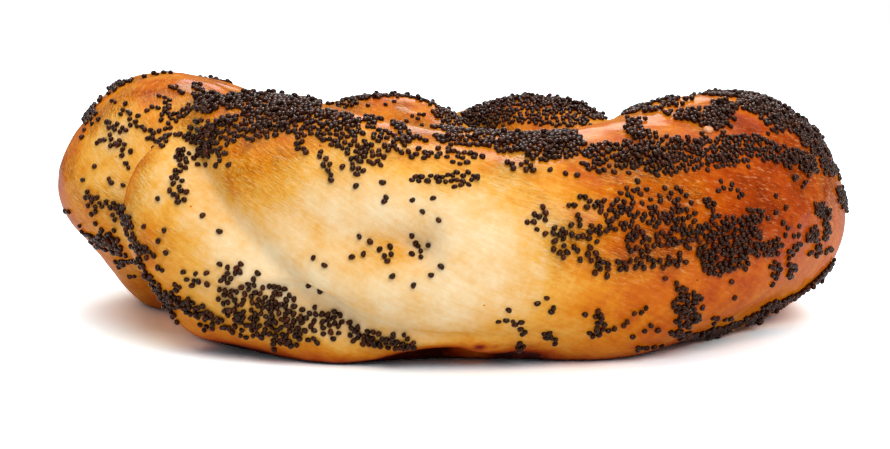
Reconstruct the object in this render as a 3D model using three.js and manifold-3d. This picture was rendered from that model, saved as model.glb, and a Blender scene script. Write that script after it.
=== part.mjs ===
// A twisted ring bagel with poppy seeds: one rope of dough, wound into a ring, its two
// ends lapped over each other at the front left. Millimetres, +Z up. The origin is under
// the middle of the bagel, on the surface that it rests on.
//
// Two angles in degrees name every place on the crust:
//   ring runs round the hole: 0 is +X, 90 is +Y, 180 is -X, 270 is -Y;
//   rope runs round the dough itself: 0 faces outward, 90 up, 180 into the hole, -90 down.
import * as THREE from "three";
import { mergeGeometries, mergeVertices } from "three/addons/utils/BufferGeometryUtils.js";
import Module from "manifold-3d";

const { degToRad, euclideanModulo, smoothstep } = THREE.MathUtils;

// The rope's size, one value for every 30 degrees of ring, from ring 0 onward.
const CROWN_HEIGHT = [38.2, 35.4, 35.9, 36.9, 36.0, 39.7, 42.4, 40.9, 39.6, 34.8, 36.4, 39.6];
const OUTER_RADIUS = [69.6, 69.2, 69.0, 68.6, 69.0, 69.5, 70.2, 70.4, 70.2, 69.8, 69.8, 70.0];
const HOLE_RADIUS = [31.0, 30.5, 30.0, 31.0, 30.0, 29.5, 29.5, 30.5, 31.0, 32.5, 31.0, 30.5];

// The ring's centre, which the uneven outline leaves a little off the middle of the bagel.
const RING_CENTRE = new THREE.Vector3(-0.13, 1.24, 0);

// The dough sagged on its tray: its round underside is flattened at the floor over this
// much of its height, and the flat's edge is rounded over EDGE_ROUNDING.
const SAG = 2.0;
const EDGE_ROUNDING = 0.8;

// Creases between the turns of the twist. Each passes through a (ring, rope) and drifts round
// the ring by lean degrees for each quarter turn of rope, and by bow times its square. It
// fades out at its reach, in degrees of rope down and up from there. The widths of its two
// slopes, towards lower ring and towards higher, and its depth are in millimetres.
const CREASES = [
  { name: "join", at: [216, 15], lean: -1, bow: 7.7,
    reach: [80, 95], depth: 6.4, widths: [7.5, 2.6] },
  { name: "beside the join", at: [241.5, 6], lean: -27, bow: 0,
    reach: [60, 60], depth: 4.4, widths: [7, 4] },
  { name: "under the bulge", at: [256, -31], lean: -90, bow: 0,
    reach: [12, 14], depth: 1.3, widths: [11, 11] },
  { name: "right end", at: [352, 30], lean: -26, bow: 0,
    reach: [80, 120], depth: 1.2, widths: [7, 7] },
  { name: "behind the right end", at: [17, 90], lean: -24, bow: 4,
    reach: [110, 110], depth: 2.4, widths: [6, 6] },
  { name: "right of the back", at: [50, 90], lean: -22, bow: 4,
    reach: [120, 110], depth: 4.4, widths: [5, 7] },
  { name: "middle of the back", at: [88.5, 90], lean: -20, bow: 4,
    reach: [120, 110], depth: 6.8, widths: [5, 6.5] },
  { name: "left of the back", at: [122, 90], lean: -22, bow: 4,
    reach: [120, 110], depth: 3.2, widths: [5, 7] },
  { name: "behind the left end", at: [145, 90], lean: -24, bow: 4,
    reach: [110, 110], depth: 3.4, widths: [5.5, 7] },
  { name: "left end", at: [187, 80], lean: -26, bow: 4,
    reach: [60, 100], depth: 1.1, widths: [6.5, 6.5] },
];
const CREASE_RADIUS = 60;
const CREASE_ROUNDING = 0.35;
const CREASE_FADE_START = 0.6;
const CREASE_FADE_END = 1.15;

// Round swellings (height above 0) and hollows (below 0) at a (ring, rope). The widths
// towards lower ring and towards higher, and tall, along the rope, are in degrees.
const SWELLINGS = [
  { name: "undercut of the left end", at: [202, -41], widths: [26, 22], tall: 30, height: -6.9 },
  { name: "gap beside the strand's foot", at: [204, -76], widths: [12.5, 9.5], tall: 18.5, height: -9 },
  { name: "left end", at: [199, 16], widths: [14, 14], tall: 26, height: 1.2 },
  { name: "top of the left end", at: [190, 62], widths: [14, 14], tall: 22, height: 1.2 },
  { name: "foot of the strand", at: [227.5, -58], widths: [7, 9], tall: 18, height: 2.2 },
  { name: "underside of the strand's foot", at: [227.5, -65], widths: [12.5, 13], tall: 14.5, height: -2.2 },
  { name: "strand by the join", at: [228, 5], widths: [6, 6], tall: 40, height: 0.9 },
  { name: "long hollow at the front", at: [257, 10], widths: [12, 9], tall: 14, height: -2.6 },
  { name: "navel", at: [265.5, 11], widths: [5, 2.2], tall: 9, height: -3 },
  { name: "bulge beside the navel", at: [270, 14], widths: [3, 8], tall: 22, height: 1.1 },
  { name: "roll under the navel", at: [262, -8], widths: [10, 8], tall: 12, height: 0.6 },
  { name: "left arch underneath", at: [269.2, -71], widths: [11, 4.4], tall: 11, height: -2.4 },
  { name: "both arches underneath", at: [272, -68], widths: [12.5, 12], tall: 24, height: -2.8 },
  { name: "lump between the arches", at: [273.4, -62], widths: [2.5, 5.2], tall: 14, height: 1.3 },
  { name: "tuck under the right end", at: [323.4, -55], widths: [20.8, 21.6], tall: 30, height: -3.5 },
  { name: "right shoulder", at: [319, 84], widths: [8, 8], tall: 30, height: 0.9 },
];

// Low waves that leave no stretch of the rope quite even.
const WAVES = [
  { rings: 5, ropes: 2, phase: 1.0, height: 0.4 },
  { rings: 9, ropes: -3, phase: 2.2, height: 0.26 },
  { rings: 14, ropes: 2, phase: 0.4, height: 0.14 },
];

// The facets: how many go round the ring, and how many round the rope.
const RING_FACETS = 136;
const ROPE_FACETS = 20;

// A poppy seed is a small bean, lying on the crust and sunk into it by SEED_SUNK.
const SEED_LENGTH = 1.4;
const SEED_WIDTH = 1.15;
const SEED_HEIGHT = 1.05;
const SEED_SUNK = 0.3;
const SEED_COUNT = 160;
const SEED_GAP = 3.4;
const SEED_DRAW = 20;
const SEED_ROPE_RADIUS = 19;

// Where the seeds lie: bands from one (ring, rope) to another, with their half-width in
// millimetres and the share of the band that they cover.
const SEED_BANDS = [
  { name: "crown at the front left", from: [226, 62], to: [262, 68], half: 6, cover: 1 },
  { name: "crown at the front", from: [262, 60], to: [292, 68], half: 5, cover: 0.9 },
  { name: "shoulder at the front right", from: [290, 58], to: [322, 42], half: 4, cover: 1 },
  { name: "crown at the right", from: [305, 80], to: [340, 85], half: 7, cover: 0.9 },
  { name: "right end", from: [338, 60], to: [344, 10], half: 5, cover: 0.8 },
  { name: "drift at the right", from: [284, 14], to: [302, 12], half: 5, cover: 0.8 },
  { name: "patch at the right", from: [303, 8], to: [314, -4], half: 4, cover: 1 },
  { name: "bottom edge at the right", from: [294, -46], to: [340, -46], half: 3, cover: 0.9 },
  { name: "roll at the lower left", from: [232, -22], to: [262, -40], half: 4, cover: 1 },
  { name: "along the join", from: [222, 14], to: [226, -44], half: 2.5, cover: 0.9 },
  { name: "top of the left end", from: [214, 52], to: [184, 80], half: 5, cover: 0.7 },
  { name: "left outline", from: [192, 28], to: [184, 62], half: 4, cover: 0.9 },
  { name: "foot of the left end", from: [206, -4], to: [190, -40], half: 3, cover: 0.8 },
  { name: "crown at the back left", from: [128, 70], to: [98, 96], half: 6, cover: 0.8 },
  { name: "crown at the back right", from: [92, 80], to: [56, 100], half: 7, cover: 0.9 },
  { name: "crown behind the right end", from: [44, 80], to: [6, 92], half: 6, cover: 0.8 },
  { name: "crown behind the left end", from: [168, 84], to: [140, 92], half: 6, cover: 0.8 },
  { name: "back of the right half", from: [84, 34], to: [22, 22], half: 7, cover: 0.5 },
  { name: "back of the left half", from: [158, 30], to: [104, 40], half: 7, cover: 0.5 },
];

const CRUST_COLOUR = "#dd9a4a";

// An angle brought into -180 to 180 degrees.
function turn(angle) {
  return euclideanModulo(angle + 180, 360) - 180;
}

// A list's value at a ring angle, on a smooth closed curve through all of its entries.
function atRing(values, ring) {
  const count = values.length;
  const place = (euclideanModulo(ring, 360) / 360) * count;
  const first = Math.floor(place);
  const t = place - first;
  const [a, b, c, d] = [-1, 0, 1, 2].map((step) => values[(first + step + count) % count]);
  const square = 2 * a - 5 * b + 4 * c - d;
  const cube = 3 * b - a - 3 * c + d;
  return 0.5 * (2 * b + (c - a) * t + square * t ** 2 + cube * t ** 3);
}

// How deep a crease cuts at a place, in millimetres.
function creaseDepth(crease, ring, rope) {
  const along = turn(rope - crease.at[1]);
  const quarters = along / 90;
  const path = crease.at[0] + crease.lean * quarters + crease.bow * quarters ** 2;
  const across = degToRad(turn(ring - path)) * CREASE_RADIUS;
  const slope = across / crease.widths[across < 0 ? 0 : 1];
  const valley = Math.exp(CREASE_ROUNDING - Math.hypot(slope, CREASE_ROUNDING));
  const fade = (reach, away) => 1 - smoothstep(away, CREASE_FADE_START * reach, CREASE_FADE_END * reach);
  return crease.depth * valley * fade(crease.reach[0], -along) * fade(crease.reach[1], along);
}

// How far a swelling stands out at a place, in millimetres.
function swellingHeight(swelling, ring, rope) {
  const across = turn(ring - swelling.at[0]);
  const side = across / swelling.widths[across < 0 ? 0 : 1];
  const up = turn(rope - swelling.at[1]) / swelling.tall;
  return swelling.height * Math.exp(-(side ** 2) - up ** 2);
}

// The crust's distance from the rope's plain oval section, in millimetres.
function relief(ring, rope) {
  const sum = (list, value) => list.reduce((total, item) => total + value(item), 0);
  const wave = (w) => w.height * Math.sin(w.rings * degToRad(ring) + w.ropes * degToRad(rope) + w.phase);
  return (
    sum(SWELLINGS, (swelling) => swellingHeight(swelling, ring, rope)) -
    sum(CREASES, (crease) => creaseDepth(crease, ring, rope)) +
    sum(WAVES, wave)
  );
}

// A height with everything below the floor flattened onto it, by a short rounded edge.
function settle(z) {
  if (z < -EDGE_ROUNDING) return 0;
  if (z > EDGE_ROUNDING) return z;
  return (z + EDGE_ROUNDING) ** 2 / (4 * EDGE_ROUNDING);
}

// The crust's point at a ring and a rope angle.
function crust(ring, rope) {
  const outer = atRing(OUTER_RADIUS, ring);
  const inner = atRing(HOLE_RADIUS, ring);
  const crown = atRing(CROWN_HEIGHT, ring);
  const halfWidth = (outer - inner) / 2;
  const halfHeight = (crown + SAG) / 2;
  const section = new THREE.Vector2(Math.cos(degToRad(rope)), Math.sin(degToRad(rope)));
  const outward = new THREE.Vector2(section.x * halfHeight, section.y * halfWidth).normalize();
  const place = new THREE.Vector2((outer + inner) / 2, crown - halfHeight)
    .add(section.multiply(new THREE.Vector2(halfWidth, halfHeight)))
    .addScaledVector(outward, relief(ring, rope));
  const spoke = new THREE.Vector3(Math.cos(degToRad(ring)), Math.sin(degToRad(ring)), 0);
  return spoke.multiplyScalar(place.x).setZ(settle(place.y)).add(RING_CENTRE);
}

// A facet corner, counted round the ring and round the rope. The half step puts one row of
// facets flat on the floor.
function facetCorner(i, j) {
  return crust((360 * i) / RING_FACETS, (360 * (j + 0.5)) / ROPE_FACETS - 90);
}

// The whole crust as one closed mesh of facets.
function doughGeometry() {
  const positions = [];
  const faces = [];
  const corner = (i, j) => (i % RING_FACETS) * ROPE_FACETS + (j % ROPE_FACETS);
  for (let i = 0; i < RING_FACETS; i++) {
    for (let j = 0; j < ROPE_FACETS; j++) {
      positions.push(...facetCorner(i, j));
      faces.push(corner(i, j), corner(i + 1, j), corner(i, j + 1));
      faces.push(corner(i + 1, j + 1), corner(i, j + 1), corner(i + 1, j));
    }
  }
  const geometry = new THREE.BufferGeometry();
  geometry.setAttribute("position", new THREE.Float32BufferAttribute(positions, 3));
  return geometry.setIndex(faces);
}

// The point and the outward direction of the facet at a ring and a rope angle.
function onFacet(ring, rope) {
  const u = (euclideanModulo(ring, 360) / 360) * RING_FACETS;
  const v = (euclideanModulo(rope + 90, 360) / 360) * ROPE_FACETS - 0.5;
  const [i, j] = [Math.floor(u), Math.floor(v)];
  const [s, t] = [u - i, v - j];
  const lower = s + t < 1;
  const point = lower ? facetCorner(i, j) : facetCorner(i + 1, j + 1);
  const alongRing = (lower ? facetCorner(i + 1, j) : facetCorner(i, j + 1)).sub(point);
  const alongRope = (lower ? facetCorner(i, j + 1) : facetCorner(i + 1, j)).sub(point);
  point.addScaledVector(alongRing, lower ? s : 1 - s).addScaledVector(alongRope, lower ? t : 1 - t);
  return { point, normal: alongRing.cross(alongRope).normalize() };
}

// The same run of numbers from 0 to 1 every time.
function drawFrom(start) {
  let state = start;
  return () => {
    state = (state + 0x6d2b79f5) | 0;
    let mixed = Math.imul(state ^ (state >>> 15), 1 | state);
    mixed = (mixed + Math.imul(mixed ^ (mixed >>> 7), 61 | mixed)) ^ mixed;
    return ((mixed ^ (mixed >>> 14)) >>> 0) / 2 ** 32;
  };
}

// The places of the seeds: spread through the bands, none nearer than SEED_GAP to another.
function seedPlaces(draw) {
  const places = [];
  const reach = (band) => crust(...band.from).distanceTo(crust(...band.to)) * band.half * band.cover;
  const total = SEED_BANDS.reduce((sum, band) => sum + reach(band), 0);
  for (const band of SEED_BANDS) {
    const share = Math.round((SEED_COUNT * reach(band)) / total);
    let placed = 0;
    for (let attempt = 0; attempt < share * 60 && placed < share; attempt++) {
      const t = draw();
      const offset = (draw() - 0.5) * 2 * band.half;
      const direction = draw() * 2 * Math.PI;
      const middle = [0, 1].map((k) => THREE.MathUtils.lerp(band.from[k], band.to[k], t));
      const spoke = Math.hypot(...crust(...middle).sub(RING_CENTRE).setZ(0));
      const ring = middle[0] + THREE.MathUtils.radToDeg((offset * Math.cos(direction)) / spoke);
      const rope = middle[1] + THREE.MathUtils.radToDeg((offset * Math.sin(direction)) / SEED_ROPE_RADIUS);
      const place = onFacet(ring, rope);
      if (places.some((other) => other.point.distanceTo(place.point) < SEED_GAP)) continue;
      places.push({ ...place, spin: draw() * 2 * Math.PI });
      placed++;
    }
  }
  return places;
}

// All seeds as one mesh of separate small beans.
function seedGeometry() {
  const draw = drawFrom(SEED_DRAW);
  const up = new THREE.Vector3(0, 0, 1);
  const beans = seedPlaces(draw).map(({ point, normal, spin }) => {
    const bean = new THREE.IcosahedronGeometry(0.5, 0);
    bean.scale(SEED_LENGTH, SEED_WIDTH, SEED_HEIGHT).rotateZ(spin);
    bean.applyQuaternion(new THREE.Quaternion().setFromUnitVectors(up, normal));
    return bean.translate(...point.addScaledVector(normal, SEED_HEIGHT / 2 - SEED_SUNK));
  });
  return mergeGeometries(beans);
}

const wasm = await Module();
wasm.setup();

// A closed geometry as a manifold-3d solid.
function solidOf(geometry) {
  geometry.deleteAttribute("normal");
  geometry.deleteAttribute("uv");
  const merged = mergeVertices(geometry, 1e-4);
  const vertProperties = new Float32Array(merged.attributes.position.array);
  const triVerts = new Uint32Array(merged.index.array);
  return new wasm.Manifold(new wasm.Mesh({ numProp: 3, vertProperties, triVerts }));
}

// The bagel: dough and seeds as one solid.
function bagelMesh() {
  const { vertProperties, triVerts } = solidOf(doughGeometry()).add(solidOf(seedGeometry())).getMesh();
  const geometry = new THREE.BufferGeometry();
  geometry.setAttribute("position", new THREE.BufferAttribute(vertProperties, 3));
  geometry.setIndex(new THREE.BufferAttribute(triVerts, 1));
  geometry.computeVertexNormals();
  const material = new THREE.MeshStandardMaterial({
    color: CRUST_COLOUR,
    roughness: 0.45,
    metalness: 0,
    flatShading: true,
  });
  const mesh = new THREE.Mesh(geometry, material);
  mesh.name = "bagel";
  return mesh;
}

const bagel = new THREE.Group();
bagel.add(bagelMesh());

export default bagel;
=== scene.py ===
"""A twisted ring bagel with a glossy golden crust, strewn with poppy seeds.

The shape is worked out in millimetres from two angles in degrees, as in the part's source:
ring runs round the hole (0 is +X, 90 is +Y) and rope runs round the dough itself (0 faces
outward, 90 up, 180 into the hole, -90 down). Blender's own units are metres.
"""
import math

import bpy
import numpy as np
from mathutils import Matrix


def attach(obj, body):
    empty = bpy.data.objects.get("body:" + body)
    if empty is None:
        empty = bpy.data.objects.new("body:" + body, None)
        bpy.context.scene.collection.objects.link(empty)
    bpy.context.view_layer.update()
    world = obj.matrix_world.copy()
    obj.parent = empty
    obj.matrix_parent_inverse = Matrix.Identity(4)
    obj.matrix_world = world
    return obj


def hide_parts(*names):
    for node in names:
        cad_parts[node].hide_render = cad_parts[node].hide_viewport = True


MM = 0.001

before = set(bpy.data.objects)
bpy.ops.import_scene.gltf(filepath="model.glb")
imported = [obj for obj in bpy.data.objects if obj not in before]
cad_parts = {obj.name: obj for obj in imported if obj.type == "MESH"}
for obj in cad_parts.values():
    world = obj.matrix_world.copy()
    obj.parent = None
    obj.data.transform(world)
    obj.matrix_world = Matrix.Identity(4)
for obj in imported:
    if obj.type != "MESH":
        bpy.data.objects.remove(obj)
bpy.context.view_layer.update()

# ---------------------------------------------------------------- the rope of dough

# Millimetres, one for every 30 degrees of ring, from ring 0 onward.
CROWN_HEIGHT = (38.2, 35.4, 35.9, 36.9, 36.0, 39.7, 42.4, 40.9, 39.6, 34.8, 36.4, 39.6)
OUTER_RADIUS = (69.6, 69.2, 69.0, 68.6, 69.0, 69.5, 70.2, 70.4, 70.2, 69.8, 69.8, 70.0)
HOLE_RADIUS = (31.0, 30.5, 30.0, 31.0, 30.0, 29.5, 29.5, 30.5, 31.0, 32.5, 31.0, 30.5)
RING_CENTRE = (-0.13, 1.24)
# How much of the oval section lies below the floor and is flattened onto it.
SAG = 2.0
EDGE_ROUNDING = 0.8
ROPE_RADIUS = 19.4
MIDDLE_RADIUS = 50.3

# Valleys between the turns of the twist, at the join and under the bulge: ring and rope of the
# middle, how far it leans and bows in ring, reach down and up the rope, depth, and width towards
# lower and higher ring.
CREASES = {
    "join": (216, 15, -1, 7.7, 80, 95, 6.4, 7.5, 2.6),
    "beside the join": (241.5, 6, -27, 0, 60, 60, 4.4, 7.0, 4.0),
    "under the bulge": (256, -31, -90, 0, 12, 14, 1.3, 11.0, 11.0),
    "right end": (352, 30, -26, 0, 80, 120, 1.2, 7.0, 7.0),
    "behind the right end": (17, 90, -24, 4, 110, 110, 2.4, 6.0, 6.0),
    "right of the back": (50, 90, -22, 4, 120, 110, 4.4, 5.0, 7.0),
    "middle of the back": (88.5, 90, -20, 4, 120, 110, 6.8, 5.0, 6.5),
    "left of the back": (122, 90, -22, 4, 120, 110, 3.2, 5.0, 7.0),
    "behind the left end": (145, 90, -24, 4, 110, 110, 3.4, 5.5, 7.0),
    "left end": (187, 80, -26, 4, 60, 100, 1.1, 6.5, 6.5),
}
CREASE_RADIUS = 60
CREASE_ROUNDING = 0.35
CREASE_FADE = (0.6, 1.15)

# Round rises, or hollows below 0: ring, rope, half-width to lower ring, to higher ring, along
# the rope, height.
SWELLINGS = {
    "undercut of the left end": (202, -41, 26, 22, 30, -6.9),
    "gap beside the strand's foot": (204, -76, 12.5, 9.5, 18.5, -9),
    "left end": (199, 16, 14, 14, 26, 1.2),
    "top of the left end": (190, 62, 14, 14, 22, 1.2),
    "foot of the strand": (227.5, -58, 7, 9, 18, 2.2),
    "underside of the strand's foot": (227.5, -65, 12.5, 13, 14.5, -2.2),
    "strand by the join": (228, 5, 6, 6, 40, 0.9),
    "long hollow at the front": (257, 10, 12, 9, 14, -2.6),
    "navel": (265.5, 11, 5, 2.2, 9, -3.0),
    "bulge beside the navel": (270, 14, 3, 8, 22, 1.1),
    "roll under the navel": (262, -8, 10, 8, 12, 0.6),
    "left arch underneath": (269.2, -71, 11, 4.4, 11, -2.4),
    "both arches underneath": (272, -68, 12.5, 12, 24, -2.8),
    "lump between the arches": (273.4, -62, 2.5, 5.2, 14, 1.3),
    "tuck under the right end": (323.4, -55, 20.8, 21.6, 30, -3.5),
    "right shoulder": (319, 84, 8, 8, 30, 0.9),
}

# Slow unevenness: waves round the ring, waves round the rope, phase, height.
WAVES = ((5, 2, 1.0, 0.4), (9, -3, 2.2, 0.26), (14, 2, 0.4, 0.14))


def turn(angle):
    """An angle brought into -180 to 180 degrees."""
    return (angle + 180) % 360 - 180


def smoothstep(value, low, high):
    """0 below low and 1 above high, with a smooth rise between."""
    t = np.clip((value - low) / (high - low), 0, 1)
    return t * t * (3 - 2 * t)


def at_ring(values, ring):
    """The list's value at a ring angle, on a smooth closed curve through its entries."""
    values = np.array(values)
    place = (ring % 360) / 360 * len(values)
    first = np.floor(place).astype(int)
    t = place - first
    a, b, c, d = (values[(first + step) % len(values)] for step in (-1, 0, 1, 2))
    square, cube = 2 * a - 5 * b + 4 * c - d, 3 * b - a - 3 * c + d
    return 0.5 * (2 * b + (c - a) * t + square * t**2 + cube * t**3)


def crease_share(crease, ring, rope):
    """How near a place is to the bottom of a crease: 1 in it, 0 well away."""
    at, middle, lean, bow, down, up, _, before, after = crease
    along = turn(rope - middle)
    path = at + lean * along / 90 + bow * (along / 90) ** 2
    across = np.radians(turn(ring - path)) * CREASE_RADIUS
    slope = across / np.where(across < 0, before, after)
    valley = np.exp(CREASE_ROUNDING - np.hypot(slope, CREASE_ROUNDING))
    start, end = CREASE_FADE
    fade_up = 1 - smoothstep(along, start * up, end * up)
    fade_down = 1 - smoothstep(-along, start * down, end * down)
    return valley * (fade_up * fade_down)


def bump_share(bump, ring, rope):
    """How near a place is to the middle of a round patch: 1 in the middle, 0 well away."""
    at, middle, before, after, tall = bump[:5]
    across = turn(ring - at)
    side = across / np.where(across < 0, before, after)
    return np.exp(-(side**2) - (turn(rope - middle) / tall) ** 2)


def relief(ring, rope):
    """The crust's distance from the rope's plain oval section, in millimetres."""
    height = np.zeros(np.broadcast(ring, rope).shape)
    for crease in CREASES.values():
        height -= crease[6] * crease_share(crease, ring, rope)
    for swelling in SWELLINGS.values():
        height += swelling[5] * bump_share(swelling, ring, rope)
    for rings, ropes, phase, tall in WAVES:
        height += tall * np.sin(rings * np.radians(ring) + ropes * np.radians(rope) + phase)
    return height


def settle(z):
    """A height with everything below the floor flattened onto it, by a short round edge."""
    edge = (z + EDGE_ROUNDING) ** 2 / (4 * EDGE_ROUNDING)
    return np.where(z < -EDGE_ROUNDING, 0, np.where(z > EDGE_ROUNDING, z, edge))


def crust(ring, rope, extra=0.0):
    """The crust's point at a ring and a rope angle, raised by extra, in millimetres."""
    outer, inner = at_ring(OUTER_RADIUS, ring), at_ring(HOLE_RADIUS, ring)
    crown = at_ring(CROWN_HEIGHT, ring)
    half_width, half_height = (outer - inner) / 2, (crown + SAG) / 2
    c, s = np.cos(np.radians(rope)), np.sin(np.radians(rope))
    out, up = c * half_height, s * half_width
    length = np.hypot(out, up)
    raised = relief(ring, rope) + extra
    radius = (outer + inner) / 2 + half_width * c + raised * out / length
    z = crown - half_height + half_height * s + raised * up / length
    x = RING_CENTRE[0] + radius * np.cos(np.radians(ring))
    y = RING_CENTRE[1] + radius * np.sin(np.radians(ring))
    return np.stack([x, y, settle(z)], -1)


# ---------------------------------------------------------------- seeded noise


def lattice(x, y, z, seed):
    """A fixed number from 0 to 1 for each whole-numbered point."""
    mixed = (x * 374761393 + y * 668265263 + z * 2147483647 + seed * 974634541) & 0xFFFFFFFF
    mixed = ((mixed ^ (mixed >> 13)) * 1274126177) & 0xFFFFFFFF
    return ((mixed ^ (mixed >> 16)) & 0xFFFFFF) / float(0xFFFFFF)


def noise(points, size, seed):
    """Smooth noise from -1 to 1, with features about size millimetres long."""
    place = np.asarray(points) / size
    corner = np.floor(place).astype(np.int64)
    t = place - corner
    t = t * t * (3 - 2 * t)
    total = 0
    for dx in (0, 1):
        for dy in (0, 1):
            for dz in (0, 1):
                weight = np.ones(t.shape[:-1])
                for axis, step in enumerate((dx, dy, dz)):
                    weight = weight * (t[..., axis] if step else 1 - t[..., axis])
                x, y, z = corner[..., 0] + dx, corner[..., 1] + dy, corner[..., 2] + dz
                total = total + weight * lattice(x, y, z, seed)
    return total * 2 - 1


def layered(points, layers):
    """Noise of several sizes added up: the amount, length in millimetres and seed of each."""
    return sum(amount * noise(points, size, seed) for amount, size, seed in layers)


# ---------------------------------------------------------------- the crust's fine relief

LUMPS = ((0.22, 9, 21), (0.09, 3.6, 22), (0.05, 1.9, 23))
WRINKLE_HEIGHT, WRINKLE_SEED = 0.07, 11
# How closely the wrinkles follow each other across the twist of the dough, and along it.
WRINKLES_ACROSS, WRINKLES_ALONG = 9, 2.2
TURNS_OF_TWIST = 2


def twist_angles(ring, rope):
    """In radians, an angle that stays the same along the twist of the dough, and the rope angle."""
    return np.radians(TURNS_OF_TWIST * ring + rope), np.radians(rope)


def fine_relief(ring, rope, points):
    """Wrinkles and lumps too fine for the solid, in millimetres."""
    helix, section = twist_angles(ring, rope)
    twist = np.stack([WRINKLES_ACROSS * np.cos(helix), WRINKLES_ACROSS * np.sin(helix),
                      WRINKLES_ALONG * np.cos(section)], -1)
    return layered(points, LUMPS) + WRINKLE_HEIGHT * noise(twist + 20, 1.0, WRINKLE_SEED)


# ---------------------------------------------------------------- how brown the crust is, and painted shade

# Where the crust is paler (below 0) or browner (above 0) than it is on the whole, some patches as painted
# shade: ring, rope, half-width to lower ring, to higher ring, down the rope, up the rope, amount.
TONES = {
    "pale bulge": (264, 0, 22, 20, 45, 50, -0.54),
    "pale strand": (227, 24, 6, 7, 34, 30, -0.15),
    "edge of the strand": (219, 22, 2.5, 2.5, 14, 14, 0.30),
    "pale valley beside it": (236, -2, 6, 8, 26, 22, -0.06),
    "pale middle of the left end": (208, 40, 7, 6, 26, 22, -0.20),
    # Partly browner dough and partly painted shade in the hollow.
    "hollow": (261.5, 8, 7, 3.5, 12, 10, 0.26),
    "orange rise right of the bulge": (291, 12, 8, 8, 34, 34, 0.13),
    "dark patch on the right shoulder": (319, 58, 5, 4, 12, 12, 0.26),
    "under the left end": (203, -58, 9, 9, 16, 16, -0.16),
    "golden shoulder": (242, 33, 6, 8, 22, 22, 0.14),
    "left outline": (195, 12, 10, 7, 38, 34, 0.24),
    "red streak on top of the left end": (204, 76, 8, 4, 10, 12, 0.14),
    "right side": (314, 12, 20, 18, 44, 44, 0.24),
    "dark shoulder": (318, 24, 12, 14, 24, 24, 0.10),
    "foot of the strand": (229, -54, 5, 9, 12, 9, 0.16),
    "right end": (346, 0, 10, 16, 40, 36, 0.19),
    # Painted shade: the arches' undersides darkened where they lie in shadow over the floor.
    "painted shade under the left arch": (266, -70, 8, 5, 40, 11, 0.60),
    "painted shade under the right arch": (280, -68, 3.4, 4.5, 40, 9, 0.60),
    # Painted shade below the roll, where it lies in shadow near the floor.
    "painted shade beneath the roll": (245, -68, 14, 14, 30, 12, 0.50),
    "right flank, low": (303, -26, 14, 20, 26, 22, 0.06),
    # Painted shade on the lower part of the bulge, below the navel.
    "painted shade low on the bulge": (263.5, -3, 7.5, 6, 11, 9, 0.12),
    "strand, low": (229, -4, 5, 5, 12, 14, 0.13),
    "brown side of the right end": (334, 44, 8, 8, 16, 16, 0.12),
    "burnt spot": (273.4, -48, 0.8, 0.9, 4.0, 3.0, 0.60),
    "end of the burnt spot": (275.4, -48.5, 0.5, 0.7, 1.4, 1.6, 0.40),
    "inner side of the back left hump": (112, 138, 8, 6, 14, 20, 0.10),
    "crest of the back left hump": (112, 76, 12, 10, 36, 34, 0.12),
    "crest of the back right hump": (70, 80, 12, 10, 40, 34, 0.16),
    "crest behind the right end": (32, 76, 12, 10, 40, 30, 0.16),
    "crest behind the left end": (158, 76, 12, 10, 40, 30, 0.12),
}
TONE_PLAIN = 0.50
# Browner on the crown, by the sine of the rope angle, and darker underneath, by how far it faces down:
# partly a tray-browned bottom, partly painted shade.
TONE_CROWN, CROWN_SPAN = 0.04, (0.3, 1.0)
UNDERSIDE_BROWN_AND_SHADE, UNDERSIDE_SPAN = 0.30, (0.82, 0.97)
# Creases are paler, by this much where they are at least so many millimetres deep.
CREASE_PALE, CREASE_DEEP = 0.20, 4.5
TONE_MOTTLING = ((0.06, 14, 31), (0.05, 5, 32), (0.03, 2, 33))


def tone_share(patch, ring, rope):
    """How near a place is to the middle of a patch of colour: 1 in the middle, 0 well away."""
    at, middle, before, after, down, up, _ = patch
    across, along = turn(ring - at), turn(rope - middle)
    return np.exp(-(across / np.where(across < 0, before, after)) ** 2
                  - (along / np.where(along < 0, down, up)) ** 2)


def browning_and_shade(ring, rope, points):
    """How brown the crust is, from 0 for pale dough to 1 for dark brown, with painted shade added where
    it faces down, under the arches and the roll, low on the bulge and in the hollow.
    """
    facing_down = -crust_normals(ring, rope)[..., 2]
    tone = TONE_PLAIN + TONE_CROWN * smoothstep(np.sin(np.radians(rope)), *CROWN_SPAN)
    # Darker where it faces down: a tray-browned bottom and painted shade.
    tone = tone + UNDERSIDE_BROWN_AND_SHADE * smoothstep(facing_down, *UNDERSIDE_SPAN)
    for crease in CREASES.values():
        tone = tone - CREASE_PALE * crease_share(crease, ring, rope) * min(crease[6] / CREASE_DEEP, 1)
    for patch in TONES.values():
        tone = tone + patch[6] * tone_share(patch, ring, rope)
    return np.clip(tone + layered(points, TONE_MOTTLING), 0, 1)


# ---------------------------------------------------------------- poppy seeds

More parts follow.
